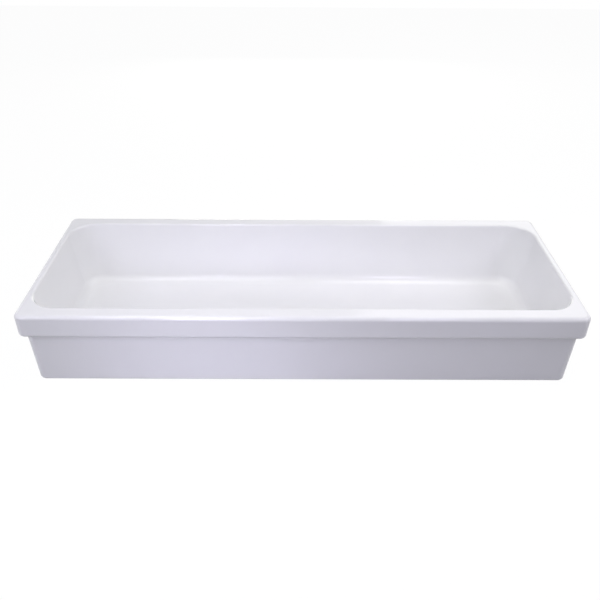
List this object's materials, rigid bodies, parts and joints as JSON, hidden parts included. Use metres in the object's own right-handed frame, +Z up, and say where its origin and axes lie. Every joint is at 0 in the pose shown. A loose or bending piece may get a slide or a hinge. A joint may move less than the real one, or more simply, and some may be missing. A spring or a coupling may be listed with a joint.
{
  "type": "trough sink",
  "caption": "Long glazed trough sink with a deep rim band over an inset apron, for a counter, with a press-to-close waste and its tail tube.",
  "frame": {"origin": "middle of the foot's plane, on the axis of the waste", "axes": "+X along the trough, -Y towards the user, +Z up"},
  "size_m": [1.2, 0.45, 0.334],
  "materials": {
    "glazed_fireclay": "glossy white glaze over fireclay, bare on the foot",
    "chromed_brass": "polished chrome plate",
    "bare_brass": "turned",
    "black_rubber": "moulded",
    "clear_silicone": "moulded, milky",
    "white_plastic": "moulded",
    "grey_plastic": "moulded",
    "stainless_steel": "drawn and turned"
  },
  "bodies": {
    "sink": {"basin": "glazed_fireclay", "waste_body": "chromed_brass", "flange_seal": "black_rubber", "cone_washer": "black_rubber", "slip_washer": "white_plastic", "lock_nut": "bare_brass", "tail_tube": "chromed_brass", "tail_nut": "chromed_brass", "tail_seal": "black_rubber", "click_housing": "white_plastic", "click_cap": "grey_plastic", "return_spring": "stainless_steel"},
    "plug": {"plunger": "stainless_steel", "plug_cap": "chromed_brass", "plug_carrier": "white_plastic", "plug_seal": "clear_silicone", "height_nut": "bare_brass"},
    "rotor": {"index_rotor": "grey_plastic"}
  },
  "joints": [
    {"name": "plug_press", "type": "slide", "parent": "sink", "child": "plug", "axis": [0, 0, 1], "range_m": [-0.007, 0], "stiffness_N_per_m": 1500, "springref_m": 0.006, "deforming": ["return_spring"]},
    {"name": "rotor_turn", "type": "hinge", "parent": "plug", "child": "rotor", "pos_m": [0, 0, 0.0024], "axis": [0, 0, 1], "continuous": true}
  ]
}
